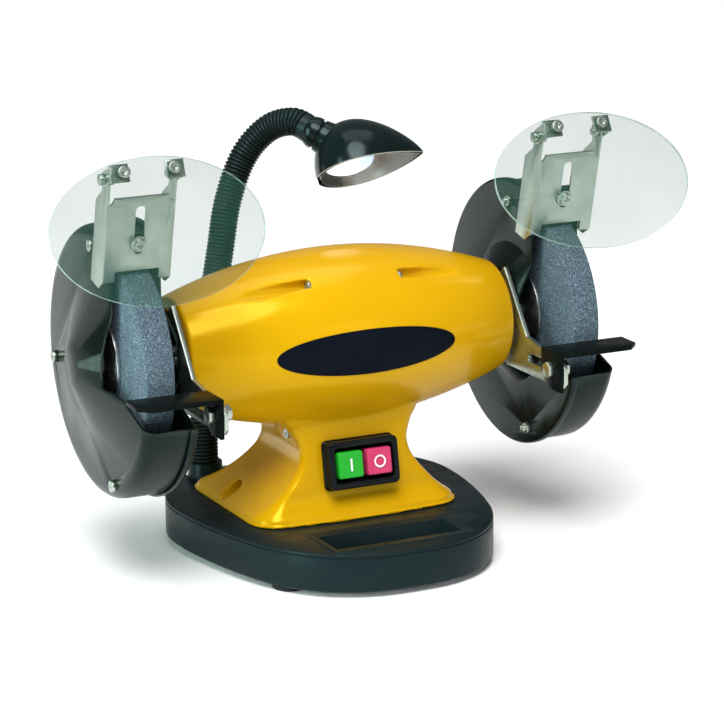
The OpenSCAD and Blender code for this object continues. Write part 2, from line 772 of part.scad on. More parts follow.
module bracket() {
    w = bracket_w / 2;
    at_bracket() translate([0, -0.1, 0]) difference() {
        union() {
            // face plate with its notch over the wheel
            rotate([90, 0, 0]) translate([0, 0, -bracket_t]) linear_extrude(bracket_t) difference() {
                polygon([[-w, 0], [-15.5, 0], [-15.5, 7.2], [15.5, 7.2], [15.5, 0], [w, 0],
                    [w, bracket_h], [-w, bracket_h]]);
                for (x = [-w, w]) translate([x, bracket_h]) circle(5);
            }
            // side flanges and the ears that carry the shield
            for (x = [-w, w - bracket_t]) translate([x, 0, 0]) rotate([90, 0, 90]) linear_extrude(bracket_t) union() {
                polygon([[0, 0], [6, -6], [20, -6], [20, bracket_h - 8], [10.5, bracket_h + 2],
                    [ear_y + 5.5, ear_z], [ear_y - 5.3, ear_z], [ear_y - 5, bracket_h - 6], [0, bracket_h - 6]]);
                translate([ear_y, ear_z]) circle(5.5);
            }
        }
        // height slot
        rotate([90, 0, 0]) translate([0, 0, -5]) linear_extrude(10) union() {
            translate([-3.5, 22.5]) square([7, 27.3]);
            for (z = [22.5, 49.8]) translate([0, z]) circle(3.5);
        }
        translate([-w - 1, ear_y, ear_z]) rotate([0, 90, 0]) cylinder(r = 2.1, h = bracket_w + 2);
    }
}

module bracket_left() color(zinc) on_side(-1) bracket();
module bracket_right() color(zinc) bracket();

module bracket_screws() {
    color(steel) both_sides() at_bracket() translate([0, -0.2, bracket_screw_z]) rotate([90, 0, 0]) {
        cylinder(r = 5.8, h = 1);
        translate([0, 0, 1]) pan_screw(bracket_screw_d, 6.6, 8.6, 2.8);
    }
}

// ---- eye shields ----

// Frame of a shield: origin on the hinge axis, -Z down the shield, -Y to the front
module at_shield(tilt) {
    translate([wheel_x, pivot_y, spindle_z + pivot_z]) rotate([-tilt, 0, 0]) children();
}

clip_x = bracket_w / 2;             // outer faces of the ears
clip_w = 12;
clip_screw_x = 17.5;

module shield(tilt) {
    at_shield(tilt) translate([0, -shield_off, -shield_drop]) rotate([90, 0, 0]) difference() {
        linear_extrude(shield_t) polygon([for (a = [0 : 5 : 355]) [shield_a * cos(a), shield_b * sin(a)]]);
        for (x = [-clip_screw_x, clip_screw_x]) translate([x, shield_drop + 0.5, -1]) cylinder(r = 2, h = 5);
    }
}

module shield_left() color([0.80, 0.92, 0.88, 0.35]) on_side(-1) shield(tilt_left);
module shield_right() color([0.80, 0.92, 0.88, 0.35]) shield(tilt_right);

// Pair of angle clips with their screws and nuts, one group of separate solids
module clips(tilt) {
    at_shield(tilt) for (s = [-1, 1]) {
        translate([s * (clip_x + 0.9), 0, 0]) difference() {
            union() {
                // leaf against the ear and leaf behind the shield
                translate([-0.75, -shield_off + 0.1, -5]) cube([1.5, shield_off - 0.1, 10]);
                rotate([0, 90, 0]) translate([0, 0, -0.75]) cylinder(r = 5, h = 1.5);
                translate([s > 0 ? -clip_w : -0.75, -shield_off + 0.1, -5.5]) cube([clip_w + 0.75, 1.5, 12]);
            }
            translate([-2, 0, 0]) rotate([0, 90, 0]) cylinder(r = 2.1, h = 4);
            translate([s * (clip_screw_x - clip_x - 0.9), -shield_off + 3, 0.5]) rotate([90, 0, 0]) cylinder(r = 2, h = 6);
        }
        // hinge bolt: dome nut outside, hex nut inside the ear
        translate([s * (clip_x + 1.75), 0, 0]) rotate([0, s * 90, 0]) {
            cylinder(r = 3.6, h = 3);
            translate([0, 0, -8.4]) cylinder(r = 2, h = 8.4);
            translate([0, 0, -6.6]) hex_nut(7, 3, 0);
        }
        // shield screw and its nut
        translate([s * clip_screw_x, -shield_off - shield_t - 0.05, 0.5]) rotate([90, 0, 0]) pan_screw(3.9, 8, 8, 2.4);
        translate([s * clip_screw_x, -shield_off + 1.7, 0.5]) rotate([-90, 0, 0]) hex_nut(7, 3, 0);
    }
}

module clips_left() color(zinc) on_side(-1) clips(tilt_left);
module clips_right() color(zinc) clips(tilt_right);

// ---- lamp ----

// Centre line of the flexible arm, from the base up to the lamp
hose_points = [
    [-58, 95, 31.4], [-58.5, 95, 61.5], [-57, 95, 101.5], [-51, 95, 151.5], [-43, 95, 196.5],
    [-36.5, 94.5, 231.5], [-24.5, 92, 263], [-9, 84, 282.5], [4, 70, 288.5], [12, 58, 283.5]
];
hose_steps = 4;                     // rings per span of the centre line
hose_gap = 1.2;                     // half the gap left where the arm bends
hose_gap_top = 1.8;
hose_gap_lamp = 2.6;                // gap left in front of the lamp's collar
bend_low = 2;                       // points of the centre line where the arm bends
bend_mid = 5;
bend_top = 7;

function open_curve(p, steps) = let (n = len(p)) concat([
    for (i = [0 : n - 2], k = [0 : steps - 1])
        let (a = p[max(i - 1, 0)], b = p[i], c = p[i + 1], d = p[min(i + 2, n - 1)], t = k / steps)
            0.5 * (2 * b + (c - a) * t + (2 * a - 5 * b + 4 * c - d) * t * t
                + (3 * b - a - 3 * c + d) * t * t * t)
], [p[n - 1]]);

// Stretch of the arm between two points of its centre line, pulled back from each end by a gap
module hose_stretch(from, to, gap_from, gap_to) {
    c = open_curve(hose_points, hose_steps);
    lo = from * hose_steps;
    hi = to * hose_steps;
    path = [for (i = [lo : hi])
        c[i] + (i == lo ? gap_from * unit2(c[i + 1] - c[i]) : i == hi ? gap_to * unit2(c[i - 1] - c[i]) : [0, 0, 0])];
    n = 12;
    loft([
        for (i = [0 : len(path) - 1])
            let (d = unit2(path[min(i + 1, len(path) - 1)] - path[max(i - 1, 0)]),
                u = unit2(cross([0, 1, 0], d)), v = cross(d, u))
                [for (k = [0 : n - 1]) let (a = 360 * k / n)
                    path[i] + hose_d / 2 * (cos(a) * u + sin(a) * v)]
    ]);
}

// The arm bends on hidden balls: each stretch carries one and has a seat for the next
core_r = 5.5;
module core_ball(at) translate(hose_points[at]) sphere(r = core_r);
module core_seat(at) translate(hose_points[at]) sphere(r = core_r + 0.4);

module lamp_socket() {
    color(black) translate([-58, 95, base_top]) difference() {
        union() {
            cylinder(r = 12.9, h = 3);
            translate([0, 0, 3]) cylinder(r1 = 12.6, r2 = 12, h = 9);
        }
        translate([0, 0, -1]) cylinder(r = hose_d / 2 + 0.1, h = 20);
    }
}

last_point = len(hose_points) - 1;
module hose_base() color(rubber) difference() {
    hose_stretch(0, bend_low, 0, hose_gap);
    core_seat(bend_low);
}
module hose_lower() color(rubber) difference() {
    union() {
        hose_stretch(bend_low, bend_mid, hose_gap, hose_gap);
        core_ball(bend_low);
    }
    core_seat(bend_mid);
}
module hose_middle() color(rubber) difference() {
    union() {
        hose_stretch(bend_mid, bend_top, hose_gap, hose_gap_top);
        core_ball(bend_mid);
    }
    core_seat(bend_top);
}
module hose_upper() color(rubber) difference() {
    union() {
        hose_stretch(bend_top, last_point, hose_gap_top, hose_gap_lamp);
        core_ball(bend_top);
    }
    core_seat(last_point);
}

shade_tip = [14, 52, 246.9];        // low left end of the shade's rim
shade_yaw = -25.9;
shade_pitch = 15.8;
shade_roll = -25;

// Frame of the shade: +X along its rim, +Z to the top of its dome
module at_shade() {
    translate(shade_tip) rotate([0, 0, shade_yaw]) rotate([0, -shade_pitch, 0]) rotate([shade_roll, 0, 0])
        children();
}

// Egg-shaped half profile of the shade, [along the rim, radius]
function shade_profile(d) = [
    for (i = [0 : 18]) let (t = i / 18, a = 180 * t)
        [shade_l / 2 - (shade_l / 2 - d) * cos(a), (37 - d) * pow(sin(a), 0.8) * (1.06 - 0.28 * t)]
];

module half_egg(d) {
    rotate([0, 90, 0]) rotate_extrude($fn = 64)
        polygon([for (p = shade_profile(d)) [max(p[1], 0), p[0]]]);
}

module lamp_shade() {
    color(black) at_shade() difference() {
        half_egg(0);
        half_egg(1.8);
        translate([-20, -60, -60]) cube([120, 120, 60]);
    }
}

module lamp_reflector() {
    color([0.93, 0.94, 0.95]) at_shade() difference() {
        half_egg(2.4);
        half_egg(3.2);
        translate([-20, -60, -58]) cube([120, 120, 60]);
    }
}

module bulb() {
    color([0.92, 0.96, 1.0]) at_shade() union() {
        translate([30, 0, 14]) sphere(r = 9);
        translate([12, 0, 17]) rotate([0, 97, 0]) cylinder(r = 6.5, h = 15);
    }
}

module lamp_collar() {
    tip = hose_points[last_point];
    color(black) difference() {
        union() {
            translate(tip) sphere(r = core_r);
            aimed(tip, [33, 44, 269.5]) {
                cylinder(r = 4, h = 6);
                translate([0, 0, 2.6]) cylinder(r = 11.5, h = 7);
                translate([0, 0, 9.6]) cylinder(r1 = 11.5, r2 = 9, h = 7);
            }
        }
        at_shade() half_egg(0);
    }
}

base();
bottom_plate();
foot_nuts();
feet();
bottom_screws();
cord_grommet();
capacitor();
capacitor_clip();
terminal_block();
housing_left();
housing_right();
housing_screws();
decal();
switch_frame();
switch_body();
on_button();
off_button();
stator();
windings();
end_bell_left();
end_bell_right();
motor_bolts();
bearing_outer_rings();
bearing_inner_rings();
bearing_balls();
rotor();
spindle();
inner_flanges();
wheel_left();
wheel_right();
outer_flanges();
spindle_nuts();
rest_arm_left();
rest_arm_right();
inner_guard_left();
inner_guard_right();
guard_bolts();
guard_cover_left();
guard_cover_right();
cover_screws();
tool_rest_left();
tool_rest_right();
rest_bolt_left();
rest_bolt_right();
bracket_left();
bracket_right();
bracket_screws();
shield_left();
shield_right();
clips_left();
clips_right();
lamp_socket();
hose_base();
hose_lower();
hose_middle();
hose_upper();
lamp_collar();
lamp_shade();
lamp_reflector();
bulb();
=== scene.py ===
import json
import math

import bmesh
import bpy
from mathutils import Matrix, Vector


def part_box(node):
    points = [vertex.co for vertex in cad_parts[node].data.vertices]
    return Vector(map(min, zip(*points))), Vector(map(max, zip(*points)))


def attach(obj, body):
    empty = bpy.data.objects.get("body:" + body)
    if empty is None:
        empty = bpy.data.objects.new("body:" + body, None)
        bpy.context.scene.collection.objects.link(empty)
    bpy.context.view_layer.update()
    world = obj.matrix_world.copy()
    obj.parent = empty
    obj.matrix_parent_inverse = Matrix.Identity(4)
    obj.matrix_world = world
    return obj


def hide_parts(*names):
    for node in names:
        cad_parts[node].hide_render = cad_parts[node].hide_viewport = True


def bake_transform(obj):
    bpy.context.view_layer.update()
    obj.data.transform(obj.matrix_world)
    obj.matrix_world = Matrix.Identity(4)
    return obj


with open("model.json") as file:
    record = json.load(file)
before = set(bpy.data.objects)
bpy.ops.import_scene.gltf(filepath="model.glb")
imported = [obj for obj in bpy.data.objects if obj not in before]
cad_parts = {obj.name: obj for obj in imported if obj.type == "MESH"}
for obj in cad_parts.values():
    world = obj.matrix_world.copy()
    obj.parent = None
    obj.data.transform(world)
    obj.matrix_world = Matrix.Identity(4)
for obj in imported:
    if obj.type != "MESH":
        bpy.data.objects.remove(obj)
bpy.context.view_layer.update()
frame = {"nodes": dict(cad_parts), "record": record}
mm = 0.001
cadNodes = frame["nodes"]
# the wheels turn about this height, and the housing stands on the base at the other
spindleHeight = sum(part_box("spindle")[k].z for k in (0, 1)) / 2 / mm
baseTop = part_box("housing_left")[0].z / mm
print("frame loaded,", len(cadNodes), "nodes")


# camera, lights and floor

# the place, three directions and lens come from a fit to the object's outline
view = {"eye": (-0.8999, -1.9178, 0.6715), "right": (0.90019, -0.4355, -0.00953),
        "up": (0.1161, 0.21876, 0.96886), "back": (-0.41983, -0.87322, 0.24746), "lens": 156.6}


def setCamera():
    data = bpy.data.cameras.new("camera")
    data.lens = view["lens"]
    data.sensor_width = 36
    data.clip_end = 30
    camera = bpy.data.objects.new("camera", data)
    bpy.context.scene.collection.objects.link(camera)
    turn = Matrix((view["right"], view["up"], view["back"])).transposed()
    camera.matrix_world = Matrix.Translation(view["eye"]) @ turn.to_4x4()
    bpy.context.scene.camera = camera


def softBox(name, place, size, power, tint=(1, 1, 1), aim=(0, 0, 0.15)):
    data = bpy.data.lights.new(name, "AREA")
    data.shape = "RECTANGLE"
    data.size, data.size_y = size
    data.energy = power
    data.color = tint
    lamp = bpy.data.objects.new(name, data)
    bpy.context.scene.collection.objects.link(lamp)
    lamp.location = place
    lamp.rotation_euler = (Vector(aim) - Vector(place)).to_track_quat("-Z", "Y").to_euler()
    return lamp


def setLights():
    world = bpy.data.worlds.new("studio")
    bpy.context.scene.world = world
    world.use_nodes = True
    back = world.node_tree.nodes["Background"]
    back.inputs["Color"].default_value = (0.95, 0.97, 1.0, 1)
    back.inputs["Strength"].default_value = 0.22
    data = bpy.data.lights.new("sky", "SUN")
    data.energy = 3.2
    data.angle = math.radians(38)
    sky = bpy.data.objects.new("sky", data)
    bpy.context.scene.collection.objects.link(sky)
    sky.rotation_euler = Vector((0.35, 0.62, -1.25)).to_track_quat("-Z", "Y").to_euler()
    softBox("key", (-0.9, -1.3, 1.9), (1.1, 0.9), 11, (1, 0.99, 0.97))
    softBox("side", (-2.3, -0.5, 0.8), (0.7, 1.5), 40, (0.72, 1, 0.93))
    softBox("front", (0.9, -2.4, 0.7), (0.8, 1.2), 4)
    softBox("top", (0.1, 0.3, 2.1), (1.6, 1.0), 9)
    bpy.context.scene.view_settings.view_transform = "Standard"


class Wire:
    # an output of a node; multiplying it adds a maths node
    def __init__(self, shader, socket):
        self.shader, self.socket = shader, socket

    def __mul__(self, other):
        isVector = any(isinstance(w, Wire) and w.socket.type == "VECTOR" for w in (self, other))
        kind = "ShaderNodeVectorMath" if isVector else "ShaderNodeMath"
        return self.shader.node(kind, {"operation": "MULTIPLY"}, {0: self, 1: other})


class Shader:
    def __init__(self, name, color, roughness, **constants):
        self.material = bpy.data.materials.new(name)
        self.material.use_nodes = True
        self.tree = self.material.node_tree
        self.surface = self.tree.nodes["Principled BSDF"]
        self.place = self.node("ShaderNodeTexCoord", output="Object")
        self.feed("Base Color", color)
        self.feed("Roughness", roughness)
        for socket, value in constants.items():
            self.feed(socket.replace("_", " "), value)

    def node(self, kind, settings=None, inputs=None, output=0):
        made = self.tree.nodes.new(kind)
        for key, value in (settings or {}).items():
            if key == "stops":
                ramp = made.color_ramp
                while len(ramp.elements) < len(value):
                    ramp.elements.new(0.5)
                for element, (at, color) in zip(ramp.elements, value):
                    element.position, element.color = at, (*color, 1) if len(color) == 3 else color
            else:
                setattr(made, key, value)
        for key, value in (inputs or {}).items():
            self.plug(made.inputs[key], value)
        return Wire(self, made.outputs[output])

    def plug(self, socket, value):
        if isinstance(value, Wire):
            self.tree.links.new(value.socket, socket)
        elif isinstance(value, tuple) and len(value) == 3 and socket.type == "RGBA":
            socket.default_value = (*value, 1)
        else:
            socket.default_value = value

    def feed(self, socket, value):
        self.plug(self.surface.inputs[socket], value)

    def grain(self, scale, detail=3, rough=0.6, stretch=None):
        place = self.place
        if stretch:
            place = place * stretch
        return self.node("ShaderNodeTexNoise", None,
                         {"Vector": place, "Scale": scale, "Detail": detail, "Roughness": rough}, "Fac")

    def ramp(self, value, stops, output="Color"):
        return self.node("ShaderNodeValToRGB", {"stops": stops}, {"Fac": value}, output)

    def mix(self, factor, first, second):
        return self.node("ShaderNodeMix", {"data_type": "RGBA"}, {0: factor, 6: first, 7: second}, 2)

    def span(self, value, low, high, start=0.3, end=0.7):
        return self.node("ShaderNodeMapRange", None, {"Value": value, "From Min": start, "From Max": end,
                                                      "To Min": low, "To Max": high})

    def relief(self, *layers):
        # each layer is (height, depth in millimetres)
        normal = None
        for height, depth in layers:
            inputs = {"Height": height, "Distance": depth * mm, "Strength": 1.0}
            if normal:
                inputs["Normal"] = normal
            normal = self.node("ShaderNodeBump", None, inputs, "Normal")
        self.feed("Normal", normal)

    def paintedEdgeHighlight(self, low=0.52, high=0.60):
        # 1 along convex edges, 0 on flats: the mask for a painted highlight along edges
        point = self.node("ShaderNodeNewGeometry", output="Pointiness")
        return self.span(point, 0.0, 1.0, low, high)


def yellowShell():
    s = Shader("yellow_shell", (0.60, 0.32, 0.003), 0.2, Coat_Roughness=0.04, Coat_Weight=0.06,
               Specular_Tint=(1.0, 0.72, 0.03), Specular_IOR_Level=0.7)
    cloud = s.grain(9, 2)
    s.feed("Base Color", s.mix(s.span(cloud, 0, 1), (0.575, 0.305, 0.002), (0.625, 0.335, 0.003)))
    s.feed("Roughness", s.span(s.grain(60, 4), 0.16, 0.26))
    s.relief((s.grain(240, 2), 0.008), (s.grain(26, 2), 0.06))
    return s.material


def guardPaint():
    s = Shader("guard_paint", (0.003, 0.006, 0.005), 0.2, Coat_Roughness=0.05, Coat_Weight=0.04,
               Specular_Tint=(0.68, 1.0, 0.92), Specular_IOR_Level=0.16)
    # the lighter colour along convex edges is a painted highlight, broken up by grain
    edge = s.paintedEdgeHighlight(0.53, 0.60)
    s.feed("Base Color", s.mix(edge * s.grain(150, 3), (0.003, 0.006, 0.005), (0.08, 0.11, 0.10)))
    s.feed("Roughness", s.span(s.grain(40, 4), 0.15, 0.27))
    s.relief((s.grain(320, 2), 0.012), (s.grain(18, 2), 0.14))
    return s.material


def restPaint():
    s = Shader("rest_paint", (0.003, 0.004, 0.004), 0.25, Specular_Tint=(0.75, 1.0, 0.95),
               Specular_IOR_Level=0.03)
    s.feed("Base Color", s.mix(s.span(s.grain(90, 4), 0, 1), (0.002, 0.003, 0.003), (0.005, 0.007, 0.006)))
    s.feed("Roughness", s.span(s.grain(70, 4), 0.2, 0.36))
    s.relief((s.grain(420, 2), 0.015))
    return s.material


def abrasive():
    s = Shader("abrasive", (0.2, 0.25, 0.31), 0.85)
    cells = s.node("ShaderNodeTexVoronoi", None, {"Vector": s.place, "Scale": 1900.0}, "Color")
    pick = s.node("ShaderNodeSeparateColor", None, {"Color": cells}, "Red")
    body = s.ramp(pick, [(0.0, (0.018, 0.030, 0.040)), (0.3, (0.050, 0.085, 0.115)),
                         (0.62, (0.085, 0.13, 0.17)), (0.86, (0.15, 0.22, 0.27)), (1.0, (0.36, 0.47, 0.52))])
    cloud = s.span(s.grain(30, 3), 0, 0.35)
    s.feed("Base Color", s.mix(cloud, body, (0.062, 0.10, 0.135)))
    s.relief((pick, 0.12), (s.grain(700, 3), 0.12))
    return s.material


def zincPlate():
    s = Shader("zinc_plate", (0.42, 0.47, 0.42), 0.33, Metallic=1.0)
    cloud = s.grain(45, 4, 0.6)
    s.feed("Base Color", s.mix(s.span(cloud, 0, 1), (0.36, 0.42, 0.36), (0.50, 0.55, 0.49)))
    s.feed("Roughness", s.span(s.grain(380, 4, 0.7, (6, 1, 1)), 0.24, 0.44))
    s.relief((s.grain(900, 2, 0.5, (8, 1, 1)), 0.012), (s.grain(60, 2), 0.03))
    return s.material


def bareSteel():
    s = Shader("bare_steel", (0.5, 0.51, 0.52), 0.3, Metallic=1.0)
    turnedMarks = s.grain(300, 3, 0.6, (8, 1, 1))
    s.feed("Base Color", s.mix(s.span(s.grain(70, 3), 0, 1), (0.40, 0.41, 0.42), (0.60, 0.61, 0.62)))
    s.feed("Roughness", s.span(turnedMarks, 0.22, 0.42))
    s.relief((turnedMarks, 0.02))
    return s.material


def mouldedPlastic(name, color, roughness, texture=0.05, coat=0.0, lift=1.35, shine=0.25,
                   tint=(0.75, 1.0, 0.97)):
    # dark and light moulded parts differ only in colour, gloss and how coarse their grain is
    s = Shader(name, color, roughness, Coat_Weight=coat, Coat_Roughness=0.1, Specular_IOR_Level=shine,
               Specular_Tint=tint)
    other = tuple(c * lift for c in color)
    s.feed("Base Color", s.mix(s.span(s.grain(35, 4), 0, 1), color, other))
    s.feed("Roughness", s.span(s.grain(120, 4), roughness - 0.06, roughness + 0.08))
    s.relief((s.grain(650, 2), texture), (s.grain(20, 2), 0.08))
    return s.material


def metalMix(name, first, second, scale, roughness, depth, stretch=None):
    # castings, laminations, balls and wound wire
    s = Shader(name, first, roughness, Metallic=1.0)
    marks = s.grain(scale, 4, 0.6, stretch)
    s.feed("Base Color", s.mix(s.span(marks, 0, 1), first, second))
    s.feed("Roughness", s.span(s.grain(scale * 2, 3), roughness - 0.08, roughness + 0.1))
    s.relief((marks, depth))
    return s.material


def clearShield():
    s = Shader("clear_shield", (0.03, 0.10, 0.07), 0.05, IOR=1.5, Specular_IOR_Level=0.3)
    s.feed("Alpha", s.span(s.grain(12, 3), 0.17, 0.22))
    s.feed("Roughness", s.span(s.grain(80, 4), 0.03, 0.09))
    s.material.surface_render_method = "BLENDED"
    return s.material


def shieldRim():
    s = Shader("shield_rim", (0.3, 0.5, 0.42), 0.15, IOR=1.5, Specular_IOR_Level=0.3)
    s.feed("Base Color", s.mix(s.span(s.grain(60, 3), 0, 1), (0.16, 0.30, 0.25), (0.45, 0.62, 0.55)))
    s.feed("Alpha", s.span(s.grain(40, 2), 0.55, 0.75))
    s.material.surface_render_method = "BLENDED"
    return s.material


def glowing(name, color, strength):
    s = Shader(name, color, 0.2)
    s.feed("Emission Color", s.mix(s.span(s.grain(48, 1), 0, 1, 0.48, 0.62), color, (0.30, 0.50, 0.90)))
    s.feed("Emission Strength", strength)
    return s.material


finish = {
    "black_plastic": mouldedPlastic("black_plastic", (0.005, 0.011, 0.013), 0.36, 0.04, lift=1.2, shine=0.14),
    "bare_steel": bareSteel(),
    "rubber": mouldedPlastic("rubber", (0.012, 0.012, 0.012), 0.75, 0.1),
    "zinc_plate": zincPlate(),
    "white_plastic": mouldedPlastic("white_plastic", (0.62, 0.62, 0.58), 0.45, lift=1.1),
    "yellow_shell": yellowShell(),
    "decal_film": mouldedPlastic("decal_film", (0.003, 0.004, 0.008), 0.34, 0.01, 0.0, shine=0.04),
    "switch_plastic": mouldedPlastic("switch_plastic", (0.004, 0.004, 0.005), 0.22, 0.02, 0.04, shine=0.12),
    "green_plastic": mouldedPlastic("green_plastic", (0.012, 0.36, 0.018), 0.3, 0.02, 0.1, 1.15),
    "red_plastic": mouldedPlastic("red_plastic", (0.55, 0.035, 0.12), 0.3, 0.02, 0.1, 1.15, tint=(1, 1, 1)),
    "rim_paint": mouldedPlastic("rim_paint", (0.60, 0.63, 0.60), 0.3, 0.01, 0, 1.1),
    "mark_paint": mouldedPlastic("mark_paint", (0.85, 0.86, 0.85), 0.4, 0.02, 0, 1.05),
    "laminations": metalMix("laminations", (0.16, 0.16, 0.17), (0.28, 0.28, 0.29), 60, 0.45, 0.06,
                            (30, 1, 1)),
    "copper": metalMix("copper", (0.45, 0.17, 0.05), (0.68, 0.30, 0.11), 90, 0.32, 0.25, (1, 14, 14)),
    "cast_aluminium": metalMix("cast_aluminium", (0.42, 0.43, 0.44), (0.56, 0.57, 0.58), 160, 0.5, 0.12),
    "bearing_steel": metalMix("bearing_steel", (0.6, 0.61, 0.62), (0.7, 0.71, 0.72), 50, 0.16, 0.01),
    "abrasive": abrasive(),
    "guard_paint": guardPaint(),
    "rest_paint": restPaint(),
    "clear_shield": clearShield(),
    "shield_rim": shieldRim(),
    "hose_plastic": mouldedPlastic("hose_plastic", (0.005, 0.010, 0.010), 0.34, 0.02, 0.0, shine=0.16),
    "lamp_plastic": mouldedPlastic("lamp_plastic", (0.003, 0.007, 0.007), 0.18, 0.01, 0.03, shine=0.18),
    "reflector_film": metalMix("reflector_film", (0.30, 0.29, 0.27), (0.42, 0.41, 0.38), 30, 0.3, 0.03),
    "bulb_glass": glowing("bulb_glass", (0.90, 0.95, 1.0), 0.85),
}
print("finishes made:", len(finish))

slotOf = {part["node"]: part["material_slot"] for part in frame["record"]["subparts"]}
bodyOf = {node: body for body, members in frame["record"]["behaviour"]["bodies"].items() for node in members}
for node, piece in cadNodes.items():
    piece.data.materials.clear()
    piece.data.materials.append(finish[slotOf[node]])


# tools for making pieces; lengths in them are millimetres

def newObject(name, mesh):
    piece = bpy.data.objects.new(name, mesh)
    bpy.context.scene.collection.objects.link(piece)
    return piece


def skinned(name, points, faces):
    mesh = bpy.data.meshes.new(name)
    mesh.from_pydata([Vector(p) * mm for p in points], [], faces)
    mesh.validate()
    piece = newObject(name, mesh)
    work(piece, lambda b: bmesh.ops.recalc_face_normals(b, faces=b.faces))
    return piece


def work(piece, change):
    b = bmesh.new()
    b.from_mesh(piece.data)
    change(b)
    b.to_mesh(piece.data)
    b.free()


def applied(piece, kind, **settings):
    # adds one modifier and makes its result the mesh
    modifier = piece.modifiers.new(kind.lower(), kind)
    for key, value in settings.items():
        setattr(modifier, key, value)
    graph = bpy.context.evaluated_depsgraph_get()
    result = bpy.data.meshes.new_from_object(piece.evaluated_get(graph), depsgraph=graph)
    piece.modifiers.clear()
    old = piece.data
    piece.data = result
    bpy.data.meshes.remove(old)
    return piece


def cut(piece, tool, operation="DIFFERENCE"):
    applied(piece, "BOOLEAN", operation=operation, object=tool, solver="EXACT")
    bpy.data.objects.remove(tool)
    return piece


def loft(name, rings):
    # a closed skin over rings that all have the same number of points
    n = len(rings[0])
    points = [p for ring in rings for p in ring]
    faces = [(i * n + j, i * n + (j + 1) % n, (i + 1) * n + (j + 1) % n, (i + 1) * n + j)
             for i in range(len(rings) - 1) for j in range(n)]
    faces += [tuple(range(n)), tuple(range(len(points) - n, len(points)))]
    return skinned(name, points, faces)


def turned(name, profile, steps):
    # profile is (radius, x) pairs turned about the spindle
    rings = []
    for radius, x in profile:
        rings.append([(x, radius * math.cos(2 * math.pi * k / steps),
                       spindleHeight + radius * math.sin(2 * math.pi * k / steps)) for k in range(steps)])
    return loft(name, rings)


def rod(name, radius, start, end, steps=32):
    start, end = Vector(start), Vector(end)
    turn = (end - start).to_track_quat("Z", "X").to_matrix()
    rings = [[at + turn @ Vector((radius * math.cos(a), radius * math.sin(a), 0))
              for a in (2 * math.pi * k / steps for k in range(steps))] for at in (start, end)]
    return loft(name, rings)


def arc(cx, cy, radius, start, end, steps):
    return [(cx + radius * math.cos(math.radians(start + (end - start) * k / steps)),
             cy + radius * math.sin(math.radians(start + (end - start) * k / steps)))
            for k in range(steps + 1)]


def ringAround(place, way, radius, steps):
    # a circle of points about a line that runs along way
    side = Vector((0, 1, 0)).cross(way).normalized()
    other = way.cross(side)
    return [place + radius * (math.cos(a) * side + math.sin(a) * other)
            for a in (2 * math.pi * k / steps for k in range(steps))]


def rectangle(halfX, y0, y1, z):
    return [(-halfX, y0, z), (halfX, y0, z), (halfX, y1, z), (-halfX, y1, z)]


def between(a, b, c, d, t):
    # the part t of the way from b to c, on a smooth curve through all four
    return tuple(0.5 * (2 * q + (r - p) * t + (2 * p - 5 * q + 4 * r - s) * t * t
                        + (3 * q - p - 3 * r + s) * t ** 3) for p, q, r, s in zip(a, b, c, d))


def smoothLine(points, steps):
    out = []
    for i in range(len(points) - 1):
        near = [points[min(max(i + k, 0), len(points) - 1)] for k in (-1, 0, 1, 2)]
        out += [between(*near, k / steps) for k in range(steps)]
    return out + [tuple(points[-1])]


def smoothRing(points, steps):
    n = len(points)
    return [between(*[points[(i + k) % n] for k in (-1, 0, 1, 2)], step / steps)
            for i in range(n) for step in range(steps)]


def inward(ring, amount):
    # the same outline moved in by amount
    n = len(ring)
    out = []
    for i in range(n):
        (ax, ay), (bx, by) = ring[i - 1], ring[(i + 1) % n]
        length = math.hypot(bx - ax, by - ay)
        out.append((ring[i][0] - amount * (by - ay) / length, ring[i][1] + amount * (bx - ax) / length))
    return out


def shaded(piece, angle):
    piece.data.shade_smooth()
    piece.data.set_sharp_from_angle(angle=math.radians(angle))
    return piece


def softened(piece, width, angle):
    # merges the flat pieces of a cut mesh, then rounds its edges
    work(piece, lambda b: bmesh.ops.remove_doubles(b, verts=b.verts, dist=2e-6))
    work(piece, lambda b: bmesh.ops.dissolve_limit(b, angle_limit=math.radians(1.5),
                                                   verts=b.verts, edges=b.edges))
    applied(piece, "BEVEL", width=width * mm, segments=2, limit_method="ANGLE",
            angle_limit=math.radians(angle), use_clamp_overlap=True, harden_normals=False)
    return shaded(piece, 40)


def paintSome(piece, finishName, choose):
    # gives the faces picked by choose a second material
    piece.data.materials.append(finish[finishName])
    for face in piece.data.polygons:
        if choose(face):
            face.material_index = len(piece.data.materials) - 1


def standIn(piece, node):
    # the piece rides with the node's body and is shown instead of the node
    if not piece.data.materials:
        piece.data.materials.append(finish[slotOf[node]])
    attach(piece, bodyOf[node])
    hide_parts(node)
    return piece


def rounded(node, width):
    # a CAD part again, with its edges broken
    piece = newObject(node + "_finished", cadNodes[node].data.copy())
    piece.data.materials.clear()
    softened(piece, width, 30)
    return standIn(piece, node)


def makeFloor():
    mesh = bpy.data.meshes.new("floor")
    mesh.from_pydata([(-6, -5, 0), (6, -5, 0), (6, 9, 0), (-6, 9, 0)], [], [(0, 1, 2, 3)])
    floor = newObject("floor", mesh)
    floor.data.materials.append(mouldedPlastic("floor_paint", (0.92, 0.92, 0.92), 0.6, 0.01, 0, 1.02,
                                               shine=0.1, tint=(1, 1, 1)))


setCamera()
setLights()
makeFloor()


# housing: barrel and neck in one skin, split into a left and a right half

housing = {"halfLength": 122, "middleRadius": 61, "taper": 22.3, "wall": 3, "voxel": 1.1, "lip": 2.4,
           "openX": 60, "openY": (-36, 68), "noseRadius": 27, "pocketWall": 2.2}
